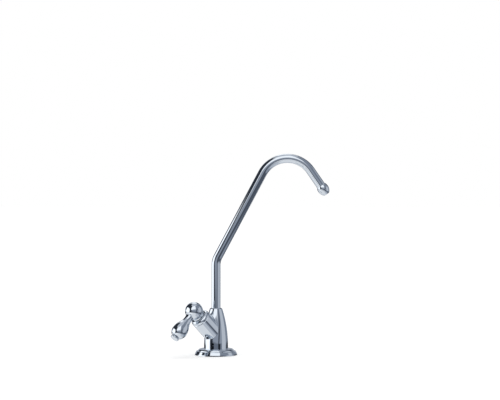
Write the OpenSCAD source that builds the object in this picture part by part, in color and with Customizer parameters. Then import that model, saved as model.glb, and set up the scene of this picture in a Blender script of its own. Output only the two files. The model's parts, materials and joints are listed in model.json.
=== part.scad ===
// Drinking water filter tap: a swan-neck spout that swivels in a slim column, with a
// quarter-turn ceramic valve set into the column's side and a ball-and-pear lever handle.
// Millimetres. The origin is on the deck under the column, +Z is up the column and
// +X points to the outlet at rest.

/* [Base flange] */
// Outside diameter of the flange
flange_d = 46.6; // [44:0.2:56]
// Height of the flange's top seat above the deck
flange_h = 7; // [6.2:0.1:9]
// Height of the upright edge's top above the deck
edge_h = 1.4; // [1.2:0.1:2.4]
// Height of the bevel's top above the deck
bevel_h = 4.6; // [4:0.1:5.2]
// How far the bevel leans in over its height
bevel_run = 1.6; // [1.2:0.1:2.2]
// Radius of the round along the bevel's top
bevel_round = 0.6; // [0.3:0.1:0.8]
// Width of the rim step outside the domed part
rim_step = 3.3; // [2.6:0.1:4.2]
// Radius of the dome's rounded shoulder
dome_round = 2.8; // [1.6:0.1:3.2]
// Thickness of the deck gasket
gasket_t = 2; // [1.4:0.1:2.6]
// Part of the gasket that stands proud of the flange's rim
gasket_proud = 0.4; // [0.2:0.05:0.8]
// Width of the rim land outside the gasket
gasket_inset = 4.6; // [4:0.1:7]

/* [Column] */
// Diameter of the column at its foot
column_d = 26.5; // [25:0.1:32]
// Diameter of the column at its top
column_top_d = 13.4; // [12.4:0.1:15]
// Height of the column's top above the deck
column_h = 51.8; // [50.6:0.2:70]
// Height of the straight wall above the flange
column_skirt = 4; // [2:0.5:8]
// Chamfer round the column's top edge
column_chamfer = 0.5; // [0.2:0.1:0.8]
// Diameter of the column's spigot in the flange
spigot_d = 16; // [14.6:0.2:18]
// Length of the column's spigot in the flange
spigot_len = 3.6; // [2.4:0.1:4]

/* [Swan neck] */
// Outside diameter of the spout tube
tube_d = 10; // [9:0.1:11]
// Wall of the spout tube
tube_wall = 1; // [0.7:0.05:1.2]
// Height above the deck where the riser and the slope would meet
bend_z = 104.2; // [80:0.2:160]
// Centreline radius of the lower bend
bend_r = 19; // [16:1:30]
// Angle of the slope from the vertical
slope_angle = 28; // [20:1:35]
// Length of the slope from the bend's corner to the arch
slope_len = 109; // [80:1:160]
// Centreline radius of the arch
arch_r = 31.2; // [26:0.2:45]
// Angle of the outlet leg from the vertical
outlet_angle = 34.5; // [15:0.5:45]
// Length of the outlet leg from the arch to the outlet's face
outlet_leg = 31.6; // [24:0.2:60]

/* [Outlet nozzle] */
// Length of the nozzle
nozzle_len = 11.2; // [9:0.1:14]
// Thickness of the nozzle's bulge over the tube
nozzle_bulge = 1.4; // [1:0.1:2]
// Thickness of the nozzle's lip over the tube
nozzle_lip = 0.5; // [0.3:0.1:0.8]
// Depth of the tube in the nozzle
nozzle_grip = 4; // [3.6:0.1:5]
// Diameter of the outlet's face
outlet_face_d = 6; // [6:0.1:8]
// Diameter of the outlet hole
outlet_d = 4.8; // [4:0.1:5.2]
// Thickness of the flow straightener
straightener_t = 1.6; // [1:0.1:2]
// Diameter of each hole in the flow straightener
straightener_hole_d = 1.6; // [1.2:0.1:1.8]
// Number of holes round the flow straightener
straightener_holes = 6; // [4:1:6]

/* [Swivel] */
// Height of the spigot's ledge above the valve's crossing
ledge_rise = 17.4; // [16.8:0.1:19]
// Depth of the water chamber under the ledge
chamber_depth = 6; // [5:0.1:7]
// Diameter of the water chamber under the ledge
chamber_d = 7.8; // [6.6:0.1:8]
// Diameter of the spigot's waterway
spigot_bore_d = 5; // [4:0.1:5.2]
// Length of the spigot below the tube
swivel_len = 7.8; // [7.4:0.1:9]
// Length of the spigot inside the tube
swivel_plug = 5; // [3:0.5:10]
// Width of an O-ring groove in the spigot
ring_groove_w = 1.6; // [1.3:0.05:1.8]
// Depth of an O-ring groove in the spigot
ring_groove_depth = 1.1; // [0.9:0.05:1.2]
// Thickness of the snap ring
snap_t = 1.1; // [0.8:0.05:1.2]
// Depth of the snap ring's groove in the column
snap_bite = 0.7; // [0.5:0.05:1]
// Depth of the snap ring's groove in the spigot
snap_seat = 1.1; // [0.9:0.05:1.2]
// Gap in the snap ring
snap_gap = 2.4; // [1.5:0.1:4]

/* [Valve barrel] */
// Height above the deck where the valve's axis crosses the column's
valve_z = 20.8; // [20:0.1:23]
// Tilt of the valve's axis from the vertical
valve_tilt = 46.5; // [43:0.5:48]
// Direction of the valve round the column
valve_azimuth = 220; // [180:1:270]
// Diameter of the barrel
barrel_d = 21.9; // [20.6:0.1:24]
// Length of the barrel from the column's axis
barrel_len = 29.4; // [28:0.2:34]
// Depth of the valve's seat in the barrel
seat_depth = 14; // [13.2:0.1:14.2]
// Diameter of the cartridge's bore
bore_d = 15.2; // [14.6:0.1:15.6]
// Step from the bore out to the bonnet's thread
bore_step = 1; // [0.7:0.1:1.3]
// Length of the bonnet's thread
bonnet_thread = 4.2; // [3.4:0.1:5]
// Diameter of the inlet waterway
inlet_d = 6; // [4.5:0.1:6.4]
// Step from the inlet in to the way to the valve's seat
inlet_step = 0.3; // [0.2:0.05:0.5]
// Diameter of the passage from the valve to the spout
passage_d = 2.6; // [2:0.1:2.8]

/* [Cartridge] */
// Thickness of the rubber seat
seal_t = 1.6; // [1.2:0.1:1.8]
// Diameter of the rubber seat
seal_d = 9.4; // [8.6:0.1:9.6]
// Diameter of the ceramic discs
disc_d = 11; // [10:0.1:11.2]
// Thickness of each ceramic disc
disc_t = 2; // [1.8:0.05:2.1]
// Opening angle of each port in the discs
port_angle = 80; // [60:1:84]
// Width of the web between the ports
port_web = 2.4; // [1.8:0.1:3.2]
// Width of the closed rim round the fixed disc's ports
port_rim = 1.2; // [1:0.1:1.8]
// Thickness of the stem's drive plate
plate_t = 1.8; // [1.4:0.1:1.9]
// Width of the stem's tongue in the turning disc
tongue_w = 2; // [1.4:0.1:2.2]
// Depth of the stem's tongue in the turning disc
tongue_depth = 0.9; // [0.6:0.1:1.2]
// Thickness of the slip washer on the stem
slip_t = 0.4; // [0.3:0.05:0.45]
// Diameter of the stem
stem_d = 6; // [5:0.1:6.4]
// Wall of the cartridge's cup
cup_wall = 0.8; // [0.7:0.05:1]
// Wall of the cartridge's neck round the stem
neck_wall = 1.95; // [1.6:0.05:2.1]
// Thickness of the cartridge's flange
seat_flange_t = 1.8; // [1.4:0.1:2]
// Height of the cartridge's neck above the barrel
neck_rise = 1.2; // [0.8:0.1:1.4]
// Width of the cup's side windows
window_w = 5.7; // [4:0.1:6]
// Width of the fixed disc's ears in the cup
ear_w = 2; // [1.4:0.1:2.2]
// Width of the lands beside the cartridge's O-ring groove
guide_land = 0.4; // [0.3:0.05:0.5]
// Depth of an O-ring groove in the stem
stem_groove_depth = 0.9; // [0.7:0.05:1]
// Width of an O-ring groove in the stem or the cartridge
stem_groove_w = 1.4; // [1.1:0.05:1.5]
// Thickness of the stem's retaining clip
clip_t = 0.6; // [0.4:0.05:0.7]
// Depth of the clip's groove in the stem
clip_bite = 0.45; // [0.35:0.05:0.5]
// Gap in the clip
clip_gap = 4.2; // [3.6:0.1:4.6]
// Width of the clip's band
clip_w = 1.5; // [1:0.1:1.9]

/* [Bonnet and handle] */
// Height of the bonnet's cap above the barrel
bonnet_h = 4.2; // [4.1:0.1:6]
// Radius of the bonnet's rounded edge
bonnet_round = 3.8; // [2:0.1:4]
// Chamfer on each side of the line between the barrel and the bonnet
line_chamfer = 0.35; // [0.1:0.05:0.4]
// Thickness of the bonnet's top
bonnet_top_t = 1.8; // [1.2:0.1:1.9]
// Diameter of the handle's ball
ball_d = 19.7; // [17:0.1:22]
// Diameter of the ball where its foot over the bonnet cuts it
ball_foot_d = 10.4; // [9:0.1:12]
// Diameter of the collar under the handle's ball
collar_d = 14.4; // [12.4:0.1:16]
// Distance across the flats of the stem's drive end
drive_flats = 4.6; // [4:0.1:4.8]
// Diameter of the lever's stud
stud_d = 5; // [3:0.1:5.4]
// Length of the lever's stud
stud_len = 4; // [2.5:0.1:4.2]
// Length of the lever from the ball's centre to the pear's end
lever_len = 36.6; // [36:0.2:50]
// Distance of the lever's waist from the ball's centre
waist_at = 11.8; // [11:0.2:15]
// Diameter of the lever's waist
waist_d = 8.7; // [6:0.1:9.4]
// Distance of the pear's widest place from its end
pear_back = 7.1; // [6.4:0.1:7.6]
// Diameter of the pear at its widest
pear_d = 17; // [16.4:0.1:20]
// Radius of the pear's long flank
flank_r = 22.8; // [14:0.2:26]
// Diameter of the end button
button_d = 9.6; // [8:0.1:10]
// Thickness of the end button
button_t = 2.6; // [2:0.1:4]
// Width of the groove between the pear and its button
button_groove = 0.5; // [0.3:0.05:1]
// Diameter of the button's tenon
tenon_d = 4; // [3:0.1:4.6]
// Diameter of the handle's set screw
screw_d = 3; // [2.5:0.1:4]
// Length of the handle's set screw
screw_len = 5.2; // [4:0.1:5.6]
// Distance across the flats of the set screw's socket
screw_socket = 1.5; // [1.2:0.1:2]

/* [Shank and clamp] */
// Diameter of the threaded shank
shank_d = 11.1; // [9.5:0.1:12]
// Length of the shank below the deck
shank_drop = 52; // [48:1:80]
// Depth of the shank in the column
shank_grip = 10.4; // [8:0.1:10.8]
// Diameter of the shank's waterway
shank_bore_d = 6.5; // [5:0.1:6.8]
// Length of the supply connection at the shank's end
supply_len = 12; // [9:0.5:16]
// Depth of the relief above the supply connection
relief_depth = 0.8; // [0.5:0.1:1]
// Width of the relief above the supply connection
relief_w = 1.6; // [1:0.1:2.5]
// Chamfer at the shank's end
shank_chamfer = 0.7; // [0.4:0.1:0.9]
// Thickness of the seal on the shank's end
shank_seal_t = 1.2; // [0.8:0.1:1.6]
// Thickness of the deck that the clamp is set for
deck_t = 18; // [4:0.5:20]
// Diameter of the rubber clamp washer
clamp_d = 30; // [26:0.5:36]
// Thickness of the rubber clamp washer
clamp_t = 3; // [2:0.1:4]
// Diameter of the steel washer
washer_d = 26; // [22:0.5:30]
// Thickness of the steel washer
washer_t = 1.5; // [1:0.1:2]
// Diameter of the toothed lock washer
lock_d = 19; // [17.6:0.1:21]
// Thickness of the toothed lock washer
lock_t = 0.9; // [0.6:0.1:1.4]
// Number of teeth in the lock washer
lock_teeth = 10; // [6:1:12]
// Width across the flats of the mounting nut
nut_flats = 18; // [16:0.5:22]
// Height of the mounting nut
nut_h = 7; // [5:0.5:10]
// Chamfer of the mounting nut's corners
nut_chamfer = 1; // [0.5:0.1:1.6]

/* [Fits] */
// Radial clearance of a running fit
run_gap = 0.05; // [0.03:0.01:0.08]
// Clearance of a fixed fit
seat_gap = 0.05; // [0.02:0.01:0.1]
// Clearance of a loose washer on the shank
loose_gap = 0.35; // [0.25:0.05:0.6]
// Gap between the bonnet and the handle
handle_gap = 0.35; // [0.3:0.05:0.5]
// Clearance round the discs in the cartridge
disc_gap = 0.2; // [0.15:0.05:0.3]

/* [Hidden] */
$fn = 120;
over = 1;
fine = 360;

// Radii
flange_r = flange_d / 2;
column_r = column_d / 2;
column_top_r = column_top_d / 2;
spigot_r = spigot_d / 2;
tube_r = tube_d / 2;
tube_bore_r = tube_r - tube_wall;
barrel_r = barrel_d / 2;
bore_r = bore_d / 2;
thread_r = bore_r + bore_step;
inlet_r = inlet_d / 2;
seat_way_r = inlet_r - inlet_step;
passage_r = passage_d / 2;
stem_r = stem_d / 2;
disc_r = disc_d / 2;
ball_r = ball_d / 2;
pear_r = pear_d / 2;
shank_r = shank_d / 2;

// Flange: the bevel's slant from upright, and the middle of the round along its top
bevel_lean = atan2(bevel_run, bevel_h - edge_h);
bevel_round_at = flange_r - bevel_run - bevel_round * tan(45 - bevel_lean / 2);
dome_r = flange_r - rim_step;
gasket_r = flange_r - gasket_inset;
gasket_hole_r = shank_r + loose_gap;

// Column: the flank is an arc that leaves the skirt upright and ends at the top
skirt_z = flange_h + column_skirt;
flank_rise = column_h - skirt_z;
flank_run = column_r - column_top_r;
column_arc_r = (flank_rise * flank_rise + flank_run * flank_run) / (2 * flank_run);

// Shank and its socket in the column
shank_socket_r = shank_r + seat_gap;
spigot_z = flange_h - spigot_len;
shank_top_z = spigot_z + shank_grip;
socket_top_z = shank_top_z + shank_seal_t;

// Swivel, from the ledge up
ledge_z = valve_z + ledge_rise;
swivel_z = ledge_z + run_gap;
tube_z = swivel_z + swivel_len;
socket_r = tube_r + run_gap;
ring_root_r = tube_r - ring_groove_depth;
ring_cord_r = (ring_groove_depth - run_gap / 2) / 2;
ring_mid_r = ring_root_r + run_gap / 2 + ring_cord_r;
land_w = (swivel_len - 2 * ring_groove_w - snap_t - 2 * run_gap) / 4;
snap_z = swivel_z + land_w + run_gap;
ring_low_z = snap_z + snap_t + run_gap + land_w;
ring_high_z = ring_low_z + ring_groove_w + land_w;
snap_root_r = tube_r - snap_seat;
snap_reach_r = socket_r + snap_bite;

// Swan neck in the XZ plane
bend_cut = bend_r * tan(slope_angle / 2);
riser_top_z = bend_z - bend_cut;
slope_start = [bend_cut * sin(slope_angle), bend_z + bend_cut * cos(slope_angle)];
arch_start = [slope_len * sin(slope_angle), bend_z + slope_len * cos(slope_angle)];
arch_mid = arch_start + arch_r * [cos(slope_angle), -sin(slope_angle)];
arch_end = arch_mid + arch_r * [cos(outlet_angle), sin(outlet_angle)];
nozzle_start = outlet_leg - nozzle_len;
bend_lap = 0.5;
bend_proud = 0.02;
nozzle_at = arch_end + nozzle_start * [sin(outlet_angle), -cos(outlet_angle)];

// Nozzle: a lip that swells to the bulge, then an arc that closes to the outlet's face
nozzle_r = tube_r + nozzle_bulge;
lip_r = tube_r + nozzle_lip;
face_r = outlet_face_d / 2;
swell_run = nozzle_bulge - nozzle_lip;
swell_r = (nozzle_grip * nozzle_grip + swell_run * swell_run) / (2 * swell_run);
close_rise = nozzle_len - nozzle_grip;
close_run = nozzle_r - face_r;
close_r = (close_rise * close_rise + close_run * close_run) / (2 * close_run);
straightener_r = tube_bore_r;
straightener_pitch_r = straightener_r / 2;

// Valve, as distances along its axis
seal_at = barrel_len - seat_depth;
fixed_at = seal_at + seal_t;
turning_at = fixed_at + disc_t + run_gap;
plate_at = turning_at + disc_t;
slip_at = plate_at + plate_t;
cup_top = slip_at + slip_t + run_gap;
cup_r = disc_r + disc_gap;
cup_out_r = cup_r + cup_wall;
shoulder_at = barrel_len - bonnet_thread - seat_flange_t;
neck_at = shoulder_at + seat_flange_t;
neck_top = barrel_len + neck_rise;
neck_r = stem_r + run_gap + neck_wall;
stem_bore_r = stem_r + run_gap;
guide_r = bore_r - seat_gap;
guide_groove_at = shoulder_at - guide_land - stem_groove_w;
guide_at = guide_groove_at - guide_land;
guide_root_r = guide_r - stem_groove_depth;
stem_root_r = stem_r - stem_groove_depth;
stem_ring_r = (stem_groove_depth - run_gap / 2) / 2;
stem_ring_mid_r = stem_root_r + run_gap / 2 + stem_ring_r;
guide_ring_mid_r = guide_root_r + run_gap / 2 + stem_ring_r;
neck_run = neck_top - neck_at;
stem_rings_at = [neck_at + neck_run / 4, neck_at + 3 * neck_run / 4];
clip_at = neck_top + 2 * run_gap;
clip_root_r = stem_r - clip_bite;
clip_r = clip_root_r + run_gap + clip_w;
passage_offset = bore_r - passage_r - run_gap;
passage_rise = ledge_rise - chamber_depth - passage_offset * sin(valve_tilt);
passage_from = passage_rise / cos(valve_tilt) - passage_r;
bonnet_cavity_r = neck_r + loose_gap;
bonnet_top = barrel_len + bonnet_h;
cavity_top = bonnet_top - bonnet_top_t;
bonnet_skirt_at = neck_at + seat_gap;
bonnet_hole_r = stem_r + loose_gap;

// Handle: the ball's foot is a flat just above the bonnet
foot_r = ball_foot_d / 2;
foot_at = bonnet_top + handle_gap;
ball_at = foot_at + sqrt(ball_r * ball_r - foot_r * foot_r);
collar_r = collar_d / 2;
collar_lap = 0.5;
collar_top = ball_at - sqrt(ball_r * ball_r - collar_r * collar_r) + collar_lap;
stem_top = ball_at;
drive_top = stem_top + seat_gap;
screw_at = (foot_at + ball_at) / 2;
screw_in = drive_flats / 2 + seat_gap;

// Lever profile: a concave waist, a long convex flank and a round end
waist_r = waist_d / 2;
pear_at = lever_len - pear_back;
flank_mid_r = pear_r - flank_r;
waist_gap = pear_at - waist_at;
waist_lift = waist_r - flank_mid_r;
waist_curve_r = (waist_gap * waist_gap + waist_lift * waist_lift - flank_r * flank_r) / (2 * (flank_r - waist_lift));
waist_mid_r = waist_r + waist_curve_r;
join_share = flank_r / (flank_r + waist_curve_r);
join_at = pear_at - waist_gap * join_share;
join_r = flank_mid_r + (waist_mid_r - flank_mid_r) * join_share;
spot_r = waist_mid_r - sqrt(waist_curve_r * waist_curve_r - pow(waist_at - ball_r, 2));
lever_seat = sqrt(ball_r * ball_r - pow(spot_r + seat_gap, 2));
root_r = waist_mid_r - sqrt(waist_curve_r * waist_curve_r - pow(waist_at - lever_seat, 2));
stud_r = stud_d / 2;
button_at = lever_len + button_groove;
button_round = button_t / 2;
tenon_r = tenon_d / 2;
tenon_end = button_at + button_t / 2;

// Clamp stack below the deck
clamp_z = -deck_t - clamp_t;
washer_z = clamp_z - washer_t;
lock_z = washer_z - lock_t;
nut_z = lock_z - nut_h;
nut_r = nut_flats / sqrt(3);

chrome = "#c3ccd6";
brass = "#c9a659";
steel = "#a8adb2";
rubber = "#26282b";
ceramic = "#ece8dd";
plastic = "#d8d6cf";

// Places children on the valve: its axis along +Z, the closed lever along +X
module on_valve(at = 0) {
    translate([0, 0, valve_z])
        rotate([0, valve_tilt, valve_azimuth])
            translate([0, 0, at])
                children();
}

// Places children on the lever: its axis along +Z from the ball's centre
module on_lever() {
    on_valve(ball_at)
        rotate([0, 90, 0])
            children();
}

// Places children on the nozzle: the outflow along +Z from the nozzle's lip
module on_nozzle() {
    translate([nozzle_at[0], 0, nozzle_at[1]])
        rotate([0, 180 - outlet_angle, 0])
            children();
}

// A round tube from z up by h
module tube(r_out, r_in, z, h) {
    translate([0, 0, z])
        linear_extrude(h)
            difference() {
                circle(r_out);
                circle(r_in);
            }
}

// A round cord ring
module cord_ring(mid_r, cord_r, z) {
    translate([0, 0, z])
        rotate_extrude()
            translate([mid_r, 0])
                circle(cord_r);
}

// Two opposite sectors, on the X axis, each with its point away from the web
module port_pair(angle, outer_r) {
    reach = 2 * outer_r;
    for (side = [0, 180])
        rotate(side)
            intersection() {
                circle(outer_r);
                polygon([
                    [port_web / 2, 0],
                    [reach, -reach * tan(angle / 2)],
                    [reach, reach * tan(angle / 2)]
                ]);
            }
}

// Column wall: a straight skirt and an arc that leans in to the top
module column_wall() {
    translate([0, 0, flange_h])
        cylinder(r = column_r, h = column_skirt);
    rotate_extrude()
        difference() {
            intersection() {
                translate([column_r - column_arc_r, skirt_z])
                    circle(column_arc_r, $fn = fine);
                translate([0, skirt_z])
                    square([column_r, flank_rise]);
            }
            polygon([
                [column_top_r - column_chamfer, column_h],
                [column_top_r + column_chamfer, column_h],
                [column_top_r + column_chamfer, column_h - 2 * column_chamfer]
            ]);
        }
}

// Water's way through the column: supply, valve seat, chamber and swivel socket
module waterways() {
    translate([0, 0, spigot_z - over])
        cylinder(r = shank_socket_r, h = socket_top_z - spigot_z + over);
    translate([0, 0, socket_top_z - over])
        cylinder(r = inlet_r, h = valve_z + inlet_r - socket_top_z + over);
    on_valve()
        cylinder(r = seat_way_r, h = seal_at + over);
    on_valve(passage_from)
        translate([-passage_offset, 0, 0])
            cylinder(r = passage_r, h = seal_at - passage_from + over);
    translate([0, 0, ledge_z - chamber_depth])
        cylinder(d = chamber_d, h = chamber_depth + over);
}

module tap_body() {
    color(chrome)
        difference() {
            union() {
                column_wall();
                translate([0, 0, spigot_z])
                    cylinder(r = spigot_r, h = spigot_len + over);
                on_valve()
                    cylinder(r = barrel_r, h = barrel_len);
            }
            waterways();
            on_valve(seal_at)
                cylinder(r = bore_r, h = barrel_len);
            on_valve(shoulder_at)
                cylinder(r = thread_r, h = barrel_len);
            on_valve()
                rotate_extrude()
                    polygon([
                        [barrel_r - line_chamfer, barrel_len],
                        [barrel_r + line_chamfer, barrel_len],
                        [barrel_r + line_chamfer, barrel_len - 2 * line_chamfer]
                    ]);
            translate([0, 0, ledge_z])
                cylinder(r = socket_r, h = column_h);
            translate([0, 0, snap_z - run_gap])
                cylinder(r = snap_reach_r, h = snap_t + 2 * run_gap);
        }
}

module base_flange() {
    hole_r = spigot_r + seat_gap;
    color(chrome)
        rotate_extrude()
            difference() {
                union() {
                    polygon([
                        [hole_r, gasket_proud],
                        [flange_r, gasket_proud],
                        [flange_r, edge_h],
                        [
                            bevel_round_at + bevel_round * cos(bevel_lean),
                            bevel_h - bevel_round + bevel_round * sin(bevel_lean)
                        ],
                        [bevel_round_at, bevel_h],
                        [hole_r, bevel_h]
                    ]);
                    translate([bevel_round_at, bevel_h - bevel_round])
                        circle(bevel_round);
                    translate([hole_r, gasket_proud])
                        square([dome_r - dome_round - hole_r, flange_h - gasket_proud]);
                    translate([hole_r, gasket_proud])
                        square([dome_r - hole_r, flange_h - dome_round - gasket_proud]);
                    translate([dome_r - dome_round, flange_h - dome_round])
                        circle(dome_round);
                }
                square([gasket_r + seat_gap, gasket_t]);
            }
}

module flange_gasket() {
    color(rubber)
        tube(gasket_r, gasket_hole_r, 0, gasket_t);
}

module threaded_shank() {
    supply_z = supply_len - shank_drop;
    color(brass)
        rotate_extrude()
            difference() {
                translate([shank_bore_d / 2, -shank_drop])
                    square([shank_r - shank_bore_d / 2, shank_top_z + shank_drop]);
                translate([shank_r - relief_depth, supply_z])
                    square([shank_r, relief_w]);
                polygon([
                    [shank_r - shank_chamfer, -shank_drop],
                    [shank_r + shank_chamfer, -shank_drop],
                    [shank_r + shank_chamfer, 2 * shank_chamfer - shank_drop]
                ]);
            }
}

module shank_seal() {
    color(rubber)
        tube(shank_r - seat_gap, shank_bore_d / 2, shank_top_z, shank_seal_t);
}

// Cup round the discs with two side windows, a guide with its O-ring, a flange and a neck
module cartridge_housing() {
    color(brass)
        on_valve()
            difference() {
                union() {
                    tube(cup_out_r, cup_r, fixed_at + run_gap, cup_top - fixed_at);
                    tube(guide_r, cup_r, guide_at, cup_top - guide_at);
                    tube(guide_r, stem_bore_r, cup_top, shoulder_at - cup_top + over);
                    tube(thread_r - seat_gap, stem_bore_r, shoulder_at, seat_flange_t);
                    tube(neck_r, stem_bore_r, neck_at, neck_run);
                }
                tube(bore_r + over, guide_root_r, guide_groove_at, stem_groove_w);
                translate([-window_w / 2, -bore_r, turning_at])
                    cube([window_w, bore_d, disc_t]);
                translate([-ear_w / 2 - seat_gap, -bore_r, fixed_at - over])
                    cube([ear_w + 2 * seat_gap, bore_d, disc_t + over]);
            }
}

module housing_o_ring() {
    color(rubber)
        on_valve()
            cord_ring(guide_ring_mid_r, stem_ring_r, guide_groove_at + stem_groove_w / 2);
}

module seat_seal() {
    color(rubber)
        on_valve()
            tube(seal_d / 2, inlet_r, seal_at, seal_t);
}

// Fixed disc: two closed ports, and two ears that key it to the cup
module fixed_disc() {
    color(ceramic)
        on_valve(fixed_at)
            linear_extrude(disc_t)
                difference() {
                    union() {
                        circle(disc_r);
                        square([ear_w, 2 * cup_out_r], center = true);
                    }
                    rotate(90)
                        port_pair(port_angle, disc_r - port_rim);
                }
}

// Turning disc: the same two ports, open at the rim, and a slot for the stem's tongue
module turning_disc() {
    color(ceramic)
        on_valve(turning_at)
            difference() {
                linear_extrude(disc_t)
                    difference() {
                        circle(disc_r);
                        port_pair(port_angle, disc_r + over);
                    }
                translate([-tongue_w / 2 - seat_gap, -disc_r - over, disc_t - tongue_depth - seat_gap])
                    cube([tongue_w + 2 * seat_gap, disc_d + 2 * over, disc_t]);
            }
}

module slip_washer() {
    color(plastic)
        on_valve()
            tube(disc_r - seat_gap, stem_r + seat_gap, slip_at, slip_t);
}

module valve_stem() {
    color(brass)
        on_valve()
            difference() {
                union() {
                    translate([0, 0, plate_at])
                        cylinder(r = disc_r - seat_gap, h = plate_t);
                    translate([-tongue_w / 2, -disc_r + disc_gap, plate_at - tongue_depth])
                        cube([tongue_w, disc_d - 2 * disc_gap, tongue_depth + plate_t / 2]);
                    translate([0, 0, slip_at])
                        cylinder(r = stem_r, h = bonnet_top - slip_at);
                    translate([0, 0, bonnet_top])
                        intersection() {
                            cylinder(r = stem_r, h = stem_top - bonnet_top);
                            translate([-drive_flats / 2, -stem_r, 0])
                                cube([drive_flats, stem_d, stem_top]);
                        }
                }
                for (at = stem_rings_at)
                    tube(stem_r + over, stem_root_r, at - stem_groove_w / 2, stem_groove_w);
                tube(stem_r + over, clip_root_r, clip_at - run_gap, clip_t + 2 * run_gap);
            }
}

module stem_o_rings() {
    color(rubber)
        on_valve()
            for (at = stem_rings_at)
                cord_ring(stem_ring_mid_r, stem_ring_r, at);
}

module stem_clip() {
    color(steel)
        on_valve(clip_at)
            linear_extrude(clip_t)
                difference() {
                    circle(clip_r);
                    circle(clip_root_r + run_gap);
                    translate([0, -clip_gap / 2])
                        square([clip_r + over, clip_gap]);
                }
}

// Domed cap whose threaded skirt holds the cartridge down
module valve_bonnet() {
    color(chrome)
        on_valve()
            rotate_extrude()
                difference() {
                    union() {
                        translate([bonnet_hole_r, bonnet_skirt_at])
                            square([thread_r - seat_gap - bonnet_hole_r, barrel_len - bonnet_skirt_at + over]);
                        translate([bonnet_hole_r, barrel_len])
                            square([barrel_r - bonnet_round - bonnet_hole_r, bonnet_h]);
                        translate([bonnet_hole_r, barrel_len])
                            square([barrel_r - bonnet_hole_r, bonnet_h - bonnet_round]);
                        intersection() {
                            translate([barrel_r - bonnet_round, bonnet_top - bonnet_round])
                                circle(bonnet_round);
                            translate([0, barrel_len])
                                square([barrel_r, bonnet_h]);
                        }
                    }
                    translate([0, bonnet_skirt_at - over])
                        square([bonnet_cavity_r, cavity_top - bonnet_skirt_at + over]);
                    polygon([
                        [barrel_r - line_chamfer, barrel_len],
                        [barrel_r + line_chamfer, barrel_len],
                        [barrel_r + line_chamfer, barrel_len + 2 * line_chamfer]
                    ]);
                }
}

// Spout tube: a bent rod bored through from end to end
module spout_tube() {
    color(chrome)
        difference() {
            neck_run(tube_r, 0);
            neck_run(tube_bore_r, over);
        }
}

// A round rod along the swan neck: riser, lower bend, slope, arch and outlet leg.
// The straight runs reach a little way into the bends, which stand proud of them.
module neck_run(r, extra) {
    translate([0, 0, tube_z - extra])
        cylinder(r = r, h = riser_top_z - tube_z + extra + bend_lap);
    neck_bend(r + bend_proud, [bend_r, riser_top_z], bend_r, 180 - slope_angle, slope_angle);
    translate([slope_start[0], 0, slope_start[1]])
        rotate([0, slope_angle, 0])
            translate([0, 0, -bend_lap])
                cylinder(r = r, h = slope_len - bend_cut + 2 * bend_lap);
    neck_bend(r + bend_proud, arch_mid, arch_r, outlet_angle, 180 - slope_angle - outlet_angle);
    translate([arch_end[0], 0, arch_end[1]])
        rotate([0, 180 - outlet_angle, 0])
            translate([0, 0, -bend_lap])
                cylinder(r = r, h = nozzle_start + nozzle_grip + extra + bend_lap);
}

// A bend of the rod in the XZ plane, about mid, from one angle on by sweep
module neck_bend(r, mid, mid_r, from, sweep) {
    translate([mid[0], 0, mid[1]])
        rotate([90, 0, 0])
            rotate([0, 0, from])
                rotate_extrude(angle = sweep)
                    translate([mid_r, 0])
                        circle(r);
}

// Turned end of the spout: a plug in the tube, two O-ring grooves and a snap ring groove
module spout_spigot() {
    color(brass)
        rotate_extrude()
            difference() {
                union() {
                    translate([spigot_bore_d / 2, swivel_z])
                        square([tube_r - spigot_bore_d / 2, swivel_len]);
                    translate([spigot_bore_d / 2, swivel_z])
                        square([tube_bore_r - seat_gap - spigot_bore_d / 2, swivel_len + swivel_plug]);
                }
                for (z = [ring_low_z, ring_high_z])
                    translate([ring_root_r, z])
                        square([tube_r, ring_groove_w]);
                translate([snap_root_r, snap_z - run_gap])
                    square([tube_r, snap_t + 2 * run_gap]);
            }
}

module spout_o_rings() {
    color(rubber)
        for (z = [ring_low_z, ring_high_z])
            cord_ring(ring_mid_r, ring_cord_r, z + ring_groove_w / 2);
}

module spout_snap_ring() {
    color(steel)
        translate([0, 0, snap_z])
            linear_extrude(snap_t)
                difference() {
                    circle(snap_reach_r - run_gap);
                    circle(snap_root_r + run_gap);
                    translate([0, -snap_gap / 2])
                        square([snap_reach_r + over, snap_gap]);
                }
}

module outlet_nozzle() {
    color(chrome)
        on_nozzle()
            rotate_extrude()
                difference() {
                    union() {
                        intersection() {
                            translate([nozzle_r - swell_r, nozzle_grip])
                                circle(swell_r, $fn = fine);
                            square([nozzle_r, nozzle_grip]);
                        }
                        intersection() {
                            translate([nozzle_r - close_r, nozzle_grip])
                                circle(close_r, $fn = fine);
                            translate([0, nozzle_grip])
                                square([nozzle_r, close_rise]);
                        }
                    }
                    square([tube_r + seat_gap, nozzle_grip + seat_gap]);
                    square([straightener_r + seat_gap, nozzle_grip + straightener_t]);
                    square([outlet_d / 2, nozzle_len]);
                }
}

module flow_straightener() {
    color(plastic)
        on_nozzle()
            translate([0, 0, nozzle_grip])
                linear_extrude(straightener_t)
                    difference() {
                        circle(straightener_r);
                        for (i = [0 : straightener_holes - 1])
                            rotate(i * 360 / straightener_holes)
                                translate([straightener_pitch_r, 0])
                                    circle(d = straightener_hole_d);
                    }
}

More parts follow.
